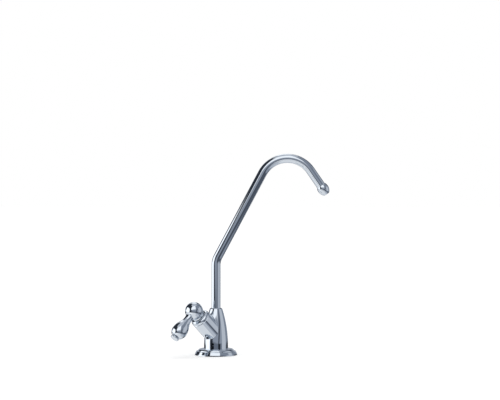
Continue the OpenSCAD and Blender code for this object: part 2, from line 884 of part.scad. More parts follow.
// Ball on a collar, with a drive socket, a set screw hole and a seat for the lever
module handle_hub() {
    color(chrome)
        difference() {
            union() {
                on_valve(ball_at)
                    sphere(ball_r);
                on_valve(foot_at - over)
                    cylinder(r = collar_r, h = collar_top - foot_at + over);
            }
            on_valve(foot_at - ball_d)
                cylinder(r = ball_r, h = ball_d);
            on_valve(foot_at - over)
                intersection() {
                    cylinder(r = stem_r + seat_gap, h = drive_top - foot_at + over);
                    translate([-drive_flats / 2 - seat_gap, -stem_d, 0])
                        cube([drive_flats + 2 * seat_gap, 2 * stem_d, ball_d]);
                }
            on_valve(screw_at)
                rotate([0, -90, 0])
                    cylinder(d = screw_d + 2 * seat_gap, h = ball_r);
            on_lever()
                translate([0, 0, lever_seat])
                    cylinder(r = spot_r + seat_gap, h = ball_r);
            on_lever()
                translate([0, 0, lever_seat - stud_len - seat_gap])
                    cylinder(r = stud_r + seat_gap, h = ball_r);
        }
}

// Pear-shaped lever turned about its own axis, with a stud and a tenon
module handle_lever() {
    color(chrome)
        on_lever()
            rotate_extrude() {
                translate([0, lever_seat - stud_len])
                    square([stud_r, stud_len + over]);
                difference() {
                    translate([0, lever_seat])
                        square([pear_r, join_at - lever_seat]);
                    translate([waist_mid_r, waist_at])
                        circle(waist_curve_r, $fn = fine);
                }
                intersection() {
                    translate([flank_mid_r, pear_at])
                        circle(flank_r, $fn = fine);
                    translate([0, join_at - over])
                        square([pear_r, pear_at - join_at + over]);
                }
                intersection() {
                    translate([0, pear_at])
                        circle(pear_r);
                    translate([0, pear_at - over])
                        square([pear_r, pear_back + over]);
                }
                translate([0, lever_len - over])
                    square([tenon_r, tenon_end - lever_len + over]);
            }
}

module lever_button() {
    color(chrome)
        on_lever()
            difference() {
                union() {
                    translate([0, 0, button_at])
                        cylinder(r = button_d / 2 - button_round, h = button_t);
                    cord_ring(button_d / 2 - button_round, button_round, button_at + button_round);
                }
                translate([0, 0, button_at - over])
                    cylinder(r = tenon_r + seat_gap, h = tenon_end - button_at + seat_gap + over);
            }
}

module handle_set_screw() {
    color(steel)
        on_valve(screw_at)
            rotate([0, -90, 0])
                difference() {
                    translate([0, 0, screw_in])
                        cylinder(d = screw_d, h = screw_len);
                    translate([0, 0, screw_in + screw_len - screw_socket])
                        cylinder(r = screw_socket / sqrt(3), h = screw_len, $fn = 6);
                }
}

module clamp_rubber() {
    color(rubber)
        tube(clamp_d / 2, shank_r + loose_gap, clamp_z, clamp_t);
}

module clamp_washer() {
    color(steel)
        tube(washer_d / 2, shank_r + loose_gap, washer_z, washer_t);
}

// Lock washer with notches that leave teeth round its hole
module lock_washer() {
    tooth_ring_r = (shank_r + lock_d / 2) / 2;
    notch_w = PI * shank_r / lock_teeth;
    color(steel)
        translate([0, 0, lock_z])
            linear_extrude(lock_t)
                difference() {
                    circle(d = lock_d);
                    circle(shank_r + loose_gap);
                    for (i = [0 : lock_teeth - 1])
                        rotate(i * 360 / lock_teeth)
                            translate([0, -notch_w / 2])
                                square([tooth_ring_r, notch_w]);
                }
}

// Hexagon nut with its corners turned off at both ends
module mounting_nut() {
    color(brass)
        translate([0, 0, nut_z])
            difference() {
                intersection() {
                    cylinder(r = nut_r, h = nut_h, $fn = 6);
                    rotate_extrude()
                        polygon([
                            [0, 0],
                            [nut_r - nut_chamfer, 0],
                            [nut_r + nut_chamfer, nut_chamfer],
                            [nut_r + nut_chamfer, nut_h - nut_chamfer],
                            [nut_r - nut_chamfer, nut_h],
                            [0, nut_h]
                        ]);
                }
                translate([0, 0, -over])
                    cylinder(r = shank_r + run_gap, h = nut_h + 2 * over);
            }
}

tap_body();
base_flange();
flange_gasket();
threaded_shank();
shank_seal();
cartridge_housing();
housing_o_ring();
seat_seal();
fixed_disc();
valve_bonnet();
spout_tube();
spout_spigot();
spout_o_rings();
spout_snap_ring();
outlet_nozzle();
flow_straightener();
valve_stem();
stem_o_rings();
turning_disc();
slip_washer();
stem_clip();
handle_hub();
handle_lever();
lever_button();
handle_set_screw();
clamp_rubber();
clamp_washer();
lock_washer();
mounting_nut();
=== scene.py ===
"""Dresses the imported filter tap: a smooth swan neck, a cast fillet, a cut thread, finishes and a studio."""

import json
import math

import bpy
from bpy.props import FloatProperty, FloatVectorProperty, PointerProperty
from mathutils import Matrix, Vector


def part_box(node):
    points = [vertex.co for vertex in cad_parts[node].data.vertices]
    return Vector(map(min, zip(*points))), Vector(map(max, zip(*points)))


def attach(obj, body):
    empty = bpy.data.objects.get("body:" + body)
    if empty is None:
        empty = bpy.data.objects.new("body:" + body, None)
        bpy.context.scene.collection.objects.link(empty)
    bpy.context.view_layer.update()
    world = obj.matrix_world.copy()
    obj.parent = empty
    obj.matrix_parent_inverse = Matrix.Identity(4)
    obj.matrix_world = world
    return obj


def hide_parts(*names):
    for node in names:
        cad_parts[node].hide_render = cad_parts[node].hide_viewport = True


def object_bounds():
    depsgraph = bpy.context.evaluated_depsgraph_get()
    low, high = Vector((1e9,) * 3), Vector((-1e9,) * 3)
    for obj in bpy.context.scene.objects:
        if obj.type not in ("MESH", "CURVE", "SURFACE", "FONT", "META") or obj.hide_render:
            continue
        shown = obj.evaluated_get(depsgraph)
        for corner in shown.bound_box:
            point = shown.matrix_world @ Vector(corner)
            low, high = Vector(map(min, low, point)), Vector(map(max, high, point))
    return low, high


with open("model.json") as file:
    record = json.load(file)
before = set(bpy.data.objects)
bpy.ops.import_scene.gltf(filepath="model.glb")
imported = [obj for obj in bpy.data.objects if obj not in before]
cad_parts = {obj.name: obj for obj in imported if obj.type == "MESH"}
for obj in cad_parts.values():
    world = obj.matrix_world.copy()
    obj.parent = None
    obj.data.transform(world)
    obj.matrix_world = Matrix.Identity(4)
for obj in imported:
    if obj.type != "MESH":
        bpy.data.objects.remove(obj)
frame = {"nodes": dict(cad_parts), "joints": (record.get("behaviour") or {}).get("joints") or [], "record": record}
cad_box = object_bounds()

bl_info = {
    "name": "Filter Tap Dressing",
    "version": (1, 0, 0),
    "blender": (4, 5, 0),
    "location": "3D View > Sidebar > Tap",
    "description": "Adds fine shapes, finishes and a studio to the packed filter tap",
    "category": "Object",
}

MM = 0.001
WHITE = (1.0, 1.0, 1.0, 1.0)

# The picture's width in pixels, and the level camera's turn from looking straight down
IMAGE_WIDTH = 500
LEVEL_VIEW = math.radians(90)

# Faces round a tube or a shank, and the largest step along a bend
AROUND = 128
BEND_STEP = math.radians(1.25)

# Points round the cast fillet, steps across it, halvings that find its place, and the share of its radius
# by which its back sinks into the metal
FILLET_AROUND = 192
FILLET_STEPS = 10
FILLET_HALVINGS = 60
FILLET_SUNK = 0.5

# Points that round to the same step of this grid are one point
WELD_STEPS_PER_METRE = 1e8

# Doubled area, in square metres, under which a face of the thread is left out
SMALLEST_FACE = 1e-14

# Scale at which a Wave texture has one line in each metre
WAVE_SCALE = 0.314

# Places of a colour Mix node's sockets
MIX_FACTOR = 0
MIX_FIRST = 6
MIX_SECOND = 7
MIX_RESULT = 2

# Half the floor's width, and the steps by which later cards and strips stand nearer, in metres
FLOOR_HALF = 30.0
CARD_SPACING = 0.05
STRIP_SPACING = 0.001

# Fewest cells along a card's side, and the highest elevation on a card in degrees
FEWEST_CELLS = 12
HIGHEST = 89.9


# Sizes, finishes and studio settings


class TapSizes(bpy.types.PropertyGroup):
    """Sizes of the pieces that are made here"""

    tube_radius: FloatProperty(
        name="Tube radius",
        description="Outside radius of the swan neck",
        default=5.0 * MM,
        unit="LENGTH",
    )
    tube_wall: FloatProperty(
        name="Tube wall",
        description="Wall of the swan neck",
        default=1.0 * MM,
        unit="LENGTH",
    )
    tube_foot: FloatProperty(
        name="Tube foot",
        description="Height of the tube's lower end, inside the column",
        default=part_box("spout_tube")[0].z,
        unit="LENGTH",
    )
    bend_height: FloatProperty(
        name="Bend height",
        description="Height at which the riser's and the slope's lines cross",
        default=104.2 * MM,
        unit="LENGTH",
    )
    bend_radius: FloatProperty(
        name="Bend radius",
        description="Radius of the lower bend at the tube's middle",
        default=19.0 * MM,
        unit="LENGTH",
    )
    slope_angle: FloatProperty(
        name="Slope angle",
        description="Lean of the slope from upright",
        default=math.radians(28.0),
        subtype="ANGLE",
    )
    slope_length: FloatProperty(
        name="Slope length",
        description="From the lower bend's corner to the start of the arch",
        default=109.0 * MM,
        unit="LENGTH",
    )
    arch_radius: FloatProperty(
        name="Arch radius",
        description="Radius of the arch at the tube's middle",
        default=31.2 * MM,
        unit="LENGTH",
    )
    outlet_angle: FloatProperty(
        name="Outlet angle",
        description="Lean of the outlet leg from upright",
        default=math.radians(34.5),
        subtype="ANGLE",
    )
    leg_length: FloatProperty(
        name="Leg length",
        description="From the end of the arch to the tube's end inside the nozzle",
        default=24.4 * MM,
        unit="LENGTH",
    )
    fillet_radius: FloatProperty(
        name="Fillet radius",
        description="Radius of the cast fillet between the column and the barrel",
        default=1.1 * MM,
        unit="LENGTH",
    )
    column_foot_radius: FloatProperty(
        name="Column foot radius",
        description="Radius of the column's foot",
        default=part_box("tap_body")[1].x,
        unit="LENGTH",
    )
    column_top_radius: FloatProperty(
        name="Column top radius",
        description="Radius of the column's top",
        default=6.7 * MM,
        unit="LENGTH",
    )
    column_top: FloatProperty(
        name="Column top",
        description="Height of the column's top",
        default=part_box("tap_body")[1].z,
        unit="LENGTH",
    )
    skirt_top: FloatProperty(
        name="Skirt top",
        description="Height at which the column starts to taper",
        default=11.0 * MM,
        unit="LENGTH",
    )
    shank_bore_radius: FloatProperty(
        name="Shank bore radius",
        description="Radius of the supply way through the shank",
        default=3.25 * MM,
        unit="LENGTH",
    )
    thread_pitch: FloatProperty(
        name="Thread pitch",
        description="Rise of the shank's thread in one turn",
        default=1.27 * MM,
        unit="LENGTH",
    )
    thread_depth: FloatProperty(
        name="Thread depth",
        description="Depth of the shank's thread",
        default=0.72 * MM,
        unit="LENGTH",
    )
    relief_low: FloatProperty(
        name="Relief low",
        description="Lower edge of the shank's plain relief",
        default=-40.0 * MM,
        unit="LENGTH",
    )
    relief_high: FloatProperty(
        name="Relief high",
        description="Upper edge of the shank's plain relief",
        default=-38.4 * MM,
        unit="LENGTH",
    )
    relief_depth: FloatProperty(
        name="Relief depth",
        description="Depth of the shank's plain relief",
        default=0.8 * MM,
        unit="LENGTH",
    )
    shank_chamfer: FloatProperty(
        name="Shank chamfer",
        description="Chamfer on the shank's lower end",
        default=0.7 * MM,
        unit="LENGTH",
    )


class TapFinish(bpy.types.PropertyGroup):
    """Colours and polish of the tap's materials"""

    chrome: FloatVectorProperty(
        name="Chrome",
        description="Colour of the chrome plate",
        default=(0.615, 0.665, 0.725),
        size=3,
        subtype="COLOR",
    )
    chrome_roughness: FloatProperty(
        name="Chrome roughness",
        description="Roughness of clean chrome",
        default=0.035,
        subtype="FACTOR",
    )
    brass: FloatVectorProperty(
        name="Brass",
        description="Colour of turned brass",
        default=(0.76, 0.56, 0.24),
        size=3,
        subtype="COLOR",
    )
    steel: FloatVectorProperty(
        name="Steel",
        description="Colour of zinc plated steel",
        default=(0.58, 0.59, 0.60),
        size=3,
        subtype="COLOR",
    )
    rubber: FloatVectorProperty(
        name="Rubber",
        description="Colour of the seals",
        default=(0.022, 0.022, 0.024),
        size=3,
        subtype="COLOR",
    )
    ceramic: FloatVectorProperty(
        name="Ceramic",
        description="Colour of the valve's discs",
        default=(0.82, 0.80, 0.75),
        size=3,
        subtype="COLOR",
    )
    plastic: FloatVectorProperty(
        name="Plastic",
        description="Colour of the moulded inner pieces",
        default=(0.72, 0.73, 0.72),
        size=3,
        subtype="COLOR",
    )


class TapStudio(bpy.types.PropertyGroup):
    """Camera, light, floor and reflected cards"""

    camera_place: FloatVectorProperty(
        name="Camera place",
        description="Where the camera stands",
        default=(0.0375, -1.63, 0.171),
        size=3,
        subtype="TRANSLATION",
        unit="LENGTH",
    )
    pixel_size: FloatProperty(
        name="Pixel size",
        description="Width of one image pixel at the tap's middle",
        default=1.104 * MM,
        unit="LENGTH",
    )
    fill_level: FloatProperty(
        name="Fill level",
        description="Strength of the world's soft light",
        default=0.75,
    )
    lamp_level: FloatProperty(
        name="Lamp level",
        description="Strength of the wide overhead lamp",
        default=0.5,
    )
    lamp_angle: FloatProperty(
        name="Lamp angle",
        description="How wide the overhead lamp looks from the tap",
        default=math.radians(50.0),
        subtype="ANGLE",
    )
    floor_colour: FloatVectorProperty(
        name="Floor colour",
        description="Colour of the pale floor",
        default=(0.8, 0.8, 0.8),
        size=3,
        subtype="COLOR",
    )
    floor_lift: FloatProperty(
        name="Floor lift",
        description="Added level that brings the lit floor up to white where it is seen",
        default=0.35,
    )
    grey_card: FloatVectorProperty(
        name="Grey card",
        description="Tint of the darkest cards, which fades towards white on the bright ones",
        default=(0.64, 0.76, 1.0),
        size=3,
        subtype="COLOR",
    )
    card_distance: FloatProperty(
        name="Card distance",
        description="How far from the tap the reflected cards stand",
        default=3.0,
        unit="LENGTH",
    )
    card_eye: FloatProperty(
        name="Card eye height",
        description="Height from which the cards' directions are taken",
        default=0.04,
        unit="LENGTH",
    )
    strip_distance: FloatProperty(
        name="Strip distance",
        description="How far from the tap the thin strips stand",
        default=0.35,
        unit="LENGTH",
    )
    strip_eye: FloatProperty(
        name="Strip eye height",
        description="Height from which the strips' directions are taken",
        default=0.0107,
        unit="LENGTH",
    )


# Mesh tools


class Skin:
    """Collects faces with a normal at each corner, and makes one mesh of them."""

    def __init__(self):
        self.points = []
        self.index = {}
        self.faces = []
        self.normals = []

    def point(self, place):
        """The number of the point at a place, added if it is new."""
        key = tuple(round(c * WELD_STEPS_PER_METRE) for c in place)
        if key not in self.index:
            self.index[key] = len(self.points)
            self.points.append(tuple(place))
        return self.index[key]

    def face(self, points, normals):
        """Adds one face, turned so that it looks the way its normals point. Repeated points are left out."""
        corners = []
        for p, n in zip(points, normals):
            i = self.point(p)
            if i not in [c[0] for c in corners]:
                corners.append((i, n))
        if len(corners) < 3:
            return
        area = Vector()
        for (i, _), (j, _) in zip(corners, corners[1:] + corners[:1]):
            area += Vector(self.points[i]).cross(Vector(self.points[j]))
        if area.dot(sum((Vector(n) for _, n in corners), Vector())) < 0:
            corners.reverse()
        self.faces.append([i for i, _ in corners])
        self.normals += [tuple(n) for _, n in corners]

    def band(self, low, high, low_normals, high_normals, closed=True):
        """Adds a strip of faces between two rows of points."""
        count = len(low) if closed else len(low) - 1
        for i in range(count):
            j = (i + 1) % len(low)
            self.face(
                [low[i], low[j], high[j], high[i]],
                [low_normals[i], low_normals[j], high_normals[j], high_normals[i]],
            )

    def make(self, name):
        """Makes the mesh object."""
        mesh = bpy.data.meshes.new(name)
        mesh.from_pydata(self.points, [], self.faces)
        mesh.polygons.foreach_set("use_smooth", [True] * len(mesh.polygons))
        mesh.normals_split_custom_set(self.normals)
        mesh.update()
        obj = bpy.data.objects.new(name, mesh)
        bpy.context.scene.collection.objects.link(obj)
        return obj


def ring(middle, across, up, radius):
    """Points of a circle, and the directions out from its middle."""
    outward = []
    for i in range(AROUND):
        angle = 2 * math.pi * i / AROUND
        outward.append(across * math.cos(angle) + up * math.sin(angle))
    return [middle + n * radius for n in outward], outward


def sleeve(skin, radius, foot, top, facing):
    """Adds a straight round wall about the Z axis, which faces out (1) or in (-1)."""
    x, y = Vector((1, 0, 0)), Vector((0, 1, 0))
    low, out = ring(Vector((0, 0, foot)), x, y, radius)
    high, _ = ring(Vector((0, 0, top)), x, y, radius)
    normals = [n * facing for n in out]
    skin.band(low, high, normals, normals)


def valve_axes():
    """The valve's crossing with the column, and three directions from it.

    They are the valve's axis, the closed lever's direction and the level direction across both.
    """
    joint = next(j for j in frame["joints"] if j["name"] == "handle_turn")
    axis = Vector(joint["axis"]).normalized()
    level = Vector((0, 0, 1)).cross(axis).normalized()
    return Vector(joint["pos_m"]), axis, level.cross(axis), level


def reach(node, origin, direction):
    """How far a node's solid reaches from a point in one direction."""
    return max((v.co - origin).dot(direction) for v in frame["nodes"][node].data.vertices)


def dress(obj, body, slot, *nodes):
    """Lets a piece ride on a body, with its slot's finish, in place of the nodes it stands for."""
    obj.data.materials.clear()
    obj.data.materials.append(finish(slot))
    if nodes:
        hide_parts(*nodes)
    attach(obj, body)


# Shader tools


class Nodes:
    """Adds and links nodes in one node tree."""

    def __init__(self, tree):
        self.tree = tree
        tree.nodes.clear()

    def add(self, kind, settings=None, **inputs):
        """Adds a node with its settings and inputs, the inputs' spaces written as underscores."""
        node = self.tree.nodes.new(kind)
        for key, value in (settings or {}).items():
            setattr(node, key, value)
        for key, value in inputs.items():
            self.put(node, key.replace("_", " "), value)
        return node

    def fill(self, socket, value):
        """Links an input to another node's output, or sets its value."""
        if isinstance(value, bpy.types.NodeSocket):
            self.tree.links.new(value, socket)
        else:
            socket.default_value = value

    def put(self, node, name, value):
        """Fills the input that has this name."""
        self.fill(next(s for s in node.inputs if s.name == name and s.enabled), value)

    def sums(self, operation, first, second):
        """A Math node's result."""
        node = self.add("ShaderNodeMath", {"operation": operation})
        self.fill(node.inputs[0], first)
        self.fill(node.inputs[1], second)
        return node.outputs[0]

    def spread(self, value, low, high, to_low, to_high):
        """A value moved from one range to another."""
        node = self.add("ShaderNodeMapRange")
        for socket, given in zip(node.inputs, (value, low, high, to_low, to_high)):
            self.fill(socket, given)
        return node.outputs[0]

    def blend(self, factor, first, second):
        """A mix of two colours."""
        node = self.add("ShaderNodeMix", {"data_type": "RGBA"})
        self.fill(node.inputs[MIX_FACTOR], factor)
        self.fill(node.inputs[MIX_FIRST], first)
        self.fill(node.inputs[MIX_SECOND], second)
        return node.outputs[MIX_RESULT]

    def combine(self, kind, *inputs):
        """A shader made from the inputs of a Mix Shader or Add Shader node, in their order."""
        node = self.add(kind)
        for socket, value in zip(node.inputs, inputs):
            self.fill(socket, value)
        return node.outputs[0]


def group(name, inputs, outputs):
    """A new shader node group with named value inputs and outputs.

    Gives its tools, its input node and its output node.
    """
    tree = bpy.data.node_groups.new(name, "ShaderNodeTree")
    for socket, value in inputs.items():
        tree.interface.new_socket(socket, in_out="INPUT", socket_type="NodeSocketFloat").default_value = value
    for socket in outputs:
        tree.interface.new_socket(socket, in_out="OUTPUT", socket_type="NodeSocketFloat")
    tools = Nodes(tree)
    return tools, tools.add("NodeGroupInput"), tools.add("NodeGroupOutput")


def handling_marks():
    """Soft smudges from wiping hands, with fine wipe lines in them."""
    name = "Handling marks"
    if name in bpy.data.node_groups:
        return bpy.data.node_groups[name]
    tools, given, made = group(name, {"Scale": 60.0, "Cover": 0.5}, ("Smudge", "Lines"))
    place = tools.add("ShaderNodeTexCoord").outputs["Object"]
    cloud = tools.add(
        "ShaderNodeTexNoise",
        Vector=place,
        Scale=given.outputs["Scale"],
        Detail=4.0,
        Roughness=0.55,
    ).outputs["Fac"]
    bare_edge, cover_reach, full_edge = 0.72, 0.3, 0.85
    edge = tools.sums("SUBTRACT", bare_edge, tools.sums("MULTIPLY", given.outputs["Cover"], cover_reach))
    smudge = tools.spread(cloud, edge, full_edge, 0.0, 1.0)
    stretched = tools.add("ShaderNodeMapping", Vector=place, Scale=(0.25, 0.25, 6.0)).outputs["Vector"]
    lines_per_smudge = 12.0
    streak = tools.add(
        "ShaderNodeTexNoise",
        Vector=stretched,
        Scale=tools.sums("MULTIPLY", given.outputs["Scale"], lines_per_smudge),
        Detail=2.0,
    ).outputs["Fac"]
    line_edge, line_middle = 0.55, 0.8
    lines = tools.spread(streak, line_edge, line_middle, 0.0, 1.0)
    tools.put(made, "Smudge", smudge)
    tools.put(made, "Lines", tools.sums("MULTIPLY", lines, smudge))
    return bpy.data.node_groups[name]


def tool_lines():
    """Fine rings left by a lathe tool along one axis, with a slow change of depth."""
    name = "Tool lines"
    if name in bpy.data.node_groups:
        return bpy.data.node_groups[name]
    tools, given, made = group(name, {"Lines per metre": 4000.0, "Waver": 0.4}, ("Height", "Tone"))
    place = tools.add("ShaderNodeTexCoord").outputs["Object"]
    wave = tools.add(
        "ShaderNodeTexWave",
        {"wave_type": "BANDS", "bands_direction": "Z"},
        Vector=place,
        Scale=tools.sums("MULTIPLY", given.outputs["Lines per metre"], WAVE_SCALE),
        Distortion=given.outputs["Waver"],
        Detail=2.0,
    ).outputs["Fac"]
    cloud = tools.add("ShaderNodeTexNoise", Vector=place, Scale=180.0, Detail=3.0).outputs["Fac"]
    tools.put(made, "Height", tools.sums("MULTIPLY", wave, cloud))
    tools.put(made, "Tone", cloud)
    return bpy.data.node_groups[name]


def fine_grain():
    """Close speckle of a moulded or fired surface."""
    name = "Fine grain"
    if name in bpy.data.node_groups:
        return bpy.data.node_groups[name]
    tools, given, made = group(name, {"Scale": 1500.0, "Contrast": 0.5}, ("Height", "Tone"))
    place = tools.add("ShaderNodeTexCoord").outputs["Object"]
    speck = tools.add("ShaderNodeTexVoronoi", Vector=place, Scale=given.outputs["Scale"]).outputs["Distance"]
    clouds_per_speck = 0.2
    cloud = tools.add(
        "ShaderNodeTexNoise",
        Vector=place,
        Scale=tools.sums("MULTIPLY", given.outputs["Scale"], clouds_per_speck),
        Detail=5.0,
    ).outputs["Fac"]
    tools.put(made, "Height", tools.sums("MULTIPLY", speck, given.outputs["Contrast"]))
    tools.put(made, "Tone", cloud)
    return bpy.data.node_groups[name]


# Finishes


def node_tools(owner):
    """Gives a new material or world its node tree, emptied, and the tools for it."""
    owner.use_nodes = True
    return Nodes(owner.node_tree)


def new_material(name):
    """A new node material, its tools and its Principled shader, which is linked to the output."""
    material = bpy.data.materials.new(name)
    tools = node_tools(material)
    shader = tools.add("ShaderNodeBsdfPrincipled")
    tools.add("ShaderNodeOutputMaterial", Surface=shader.outputs["BSDF"])
    return material, tools, shader


def use(tools, tree, **inputs):
    """Places a node group with its own values, and gives its outputs."""
    return tools.add("ShaderNodeGroup", {"node_tree": tree}, **inputs).outputs


def shade(colour, factor):
    """A colour with each part multiplied, as a node socket takes it."""
    return tuple(min(1.0, c * factor) for c in colour) + (1.0,)


def roughen(tools, shader, height, strength, depth):
    """Gives a shader a fine bump."""
    bump = tools.add("ShaderNodeBump", Strength=strength, Distance=depth, Height=height)
    tools.put(shader, "Normal", bump.outputs["Normal"])


def chrome_finish(looks):
    """Bright plate, a little hazier where it was wiped."""
    smudge_shade, smudge_haze, line_haze = 0.97, 0.03, 0.05
    material, tools, shader = new_material("chrome_plate")
    marks = use(tools, handling_marks(), Scale=42.0, Cover=0.35)
    plate = tools.blend(marks["Smudge"], shade(looks.chrome, 1.0), shade(looks.chrome, smudge_shade))
    tools.put(shader, "Base Color", plate)
    shader.inputs["Metallic"].default_value = 1.0
    clean = looks.chrome_roughness
    hazy = tools.spread(marks["Smudge"], 0.0, 1.0, clean, clean + smudge_haze)
    tools.put(shader, "Roughness", tools.sums("ADD", hazy, tools.sums("MULTIPLY", marks["Lines"], line_haze)))
    return material


def brass_finish(looks):
    """Turned metal with tool lines, darker where it has dulled."""
    dark, light, dull = (shade(looks.brass, factor) for factor in (0.86, 1.12, 0.62))
    low_tone, high_tone, smooth, rough = 0.2, 0.8, 0.2, 0.36
    material, tools, shader = new_material("turned_brass")
    lines = use(tools, tool_lines(), Lines_per_metre=5200.0, Waver=0.6)
    marks = use(tools, handling_marks(), Scale=130.0, Cover=0.7)
    bright = tools.blend(lines["Tone"], dark, light)
    tools.put(shader, "Base Color", tools.blend(marks["Smudge"], bright, dull))
    shader.inputs["Metallic"].default_value = 1.0
    tools.put(shader, "Roughness", tools.spread(lines["Tone"], low_tone, high_tone, smooth, rough))
    roughen(tools, shader, lines["Height"], strength=0.25, depth=0.02 * MM)
    return material


def steel_finish(looks):
    """Zinc plate with a fine spangle, darker where it has dulled."""
    dark, light, dull = (shade(looks.steel, factor) for factor in (0.82, 1.14, 0.72))
    low_tone, high_tone, smooth, rough = 0.25, 0.75, 0.26, 0.44
    material, tools, shader = new_material("zinc_plated_steel")
    grain = use(tools, fine_grain(), Scale=900.0, Contrast=0.6)
    marks = use(tools, handling_marks(), Scale=160.0, Cover=0.8)
    plate = tools.blend(grain["Tone"], dark, light)
    tools.put(shader, "Base Color", tools.blend(marks["Smudge"], plate, dull))
    shader.inputs["Metallic"].default_value = 1.0
    tools.put(shader, "Roughness", tools.spread(grain["Tone"], low_tone, high_tone, smooth, rough))
    roughen(tools, shader, grain["Height"], strength=0.15, depth=0.03 * MM)
    return material


def grained_finish(name, colour, scale, contrast, dark, light, smooth, rough, bump, depth):
    """A moulded or fired surface: a speckled tone, a roughness that follows it and a fine bump."""
    low_tone, high_tone = 0.3, 0.7
    material, tools, shader = new_material(name)
    grain = use(tools, fine_grain(), Scale=scale, Contrast=contrast)
    tools.put(shader, "Base Color", tools.blend(grain["Tone"], shade(colour, dark), shade(colour, light)))
    tools.put(shader, "Roughness", tools.spread(grain["Tone"], low_tone, high_tone, smooth, rough))
    roughen(tools, shader, grain["Height"], bump, depth)
    return material


def rubber_finish(looks):
    """Matt black rubber."""
    return grained_finish(
        "seal_rubber",
        looks.rubber,
        scale=2200.0,
        contrast=0.8,
        dark=0.7,
        light=1.7,
        smooth=0.55,
        rough=0.74,
        bump=0.3,
        depth=0.04 * MM,
    )


def ceramic_finish(looks):
    """Ground cream ceramic."""
    return grained_finish(
        "fired_ceramic",
        looks.ceramic,
        scale=2600.0,
        contrast=0.3,
        dark=0.93,
        light=1.06,
        smooth=0.16,
        rough=0.3,
        bump=0.08,
        depth=0.02 * MM,
    )


def plastic_finish(looks):
    """Pale moulded plastic."""
    return grained_finish(
        "moulded_plastic",
        looks.plastic,
        scale=1400.0,
        contrast=0.5,
        dark=0.94,
        light=1.05,
        smooth=0.36,
        rough=0.5,
        bump=0.12,
        depth=0.03 * MM,
    )


FINISHES = {
    "chrome": ("chrome_plate", chrome_finish),
    "brass": ("turned_brass", brass_finish),
    "steel": ("zinc_plated_steel", steel_finish),
    "rubber": ("seal_rubber", rubber_finish),
    "ceramic": ("fired_ceramic", ceramic_finish),
    "plastic": ("moulded_plastic", plastic_finish),
}


def finish(slot):
    """The material of a slot, made the first time it is asked for."""
    name, make = FINISHES[slot]
    return bpy.data.materials.get(name) or make(bpy.context.scene.tap_finish)


# Pieces


def neck_line(sizes):
    """Points along the tube's middle, from its foot to its end in the nozzle, and its direction at each."""
    lean, bend = sizes.slope_angle, sizes.bend_radius
    points, ways = [Vector((0, 0, sizes.tube_foot))], [Vector((0, 0, 1))]

    def add_bend(middle, radius, start, turn):
        """Adds the points of one bend, from its first lean through its turn."""
        steps = math.ceil(turn / BEND_STEP)
        for i in range(steps + 1):
            angle = start + turn * i / steps
            points.append(middle + Vector((-math.cos(angle), 0, math.sin(angle))) * radius)
            ways.append(Vector((math.sin(angle), 0, math.cos(angle))))

    corner = Vector((0, 0, sizes.bend_height))
    cut = bend * math.tan(lean / 2)
    add_bend(corner + Vector((bend, 0, -cut)), bend, 0.0, lean)
    slope = Vector((math.sin(lean), 0, math.cos(lean)))
    outward = Vector((math.cos(lean), 0, -math.sin(lean)))
    arch_start = corner + slope * sizes.slope_length
    arch_turn = math.pi - sizes.outlet_angle - lean
    add_bend(arch_start + outward * sizes.arch_radius, sizes.arch_radius, lean, arch_turn)
    points.append(points[-1] + ways[-1] * sizes.leg_length)
    ways.append(ways[-1])
    return points, ways


class TAP_OT_swan_neck(bpy.types.Operator):
    """Sweeps the swan neck's tube, with its bore, along the riser, the bends and the outlet leg"""

    bl_idname = "tap.swan_neck"
    bl_label = "Swan neck"

    def execute(self, context):
        sizes = context.scene.tap_sizes
        skin = Skin()
        points, ways = neck_line(sizes)
        level = Vector((0, 1, 0))
        ends = []
        for radius, facing in ((sizes.tube_radius, 1), (sizes.tube_radius - sizes.tube_wall, -1)):
            rows = []
            for p, way in zip(points, ways):
                circle, out = ring(p, level.cross(way), level, radius)
                rows.append((circle, [n * facing for n in out]))
            for (low, low_out), (high, high_out) in zip(rows, rows[1:]):
                skin.band(low, high, low_out, high_out)
            ends.append((rows[0][0], rows[-1][0]))
        for end, way in ((0, -ways[0]), (1, ways[-1])):
            flat = [way] * AROUND
            skin.band(ends[0][end], ends[1][end], flat, flat)
        dress(skin.make("swan_neck_tube"), "spout", "chrome", "spout_tube")
        return {"FINISHED"}


def flank_radius(sizes):
    """Radius of the arc that the column's flank follows."""
    rise = sizes.column_top - sizes.skirt_top
    run = sizes.column_foot_radius - sizes.column_top_radius
    return (rise * rise + run * run) / (2 * run)


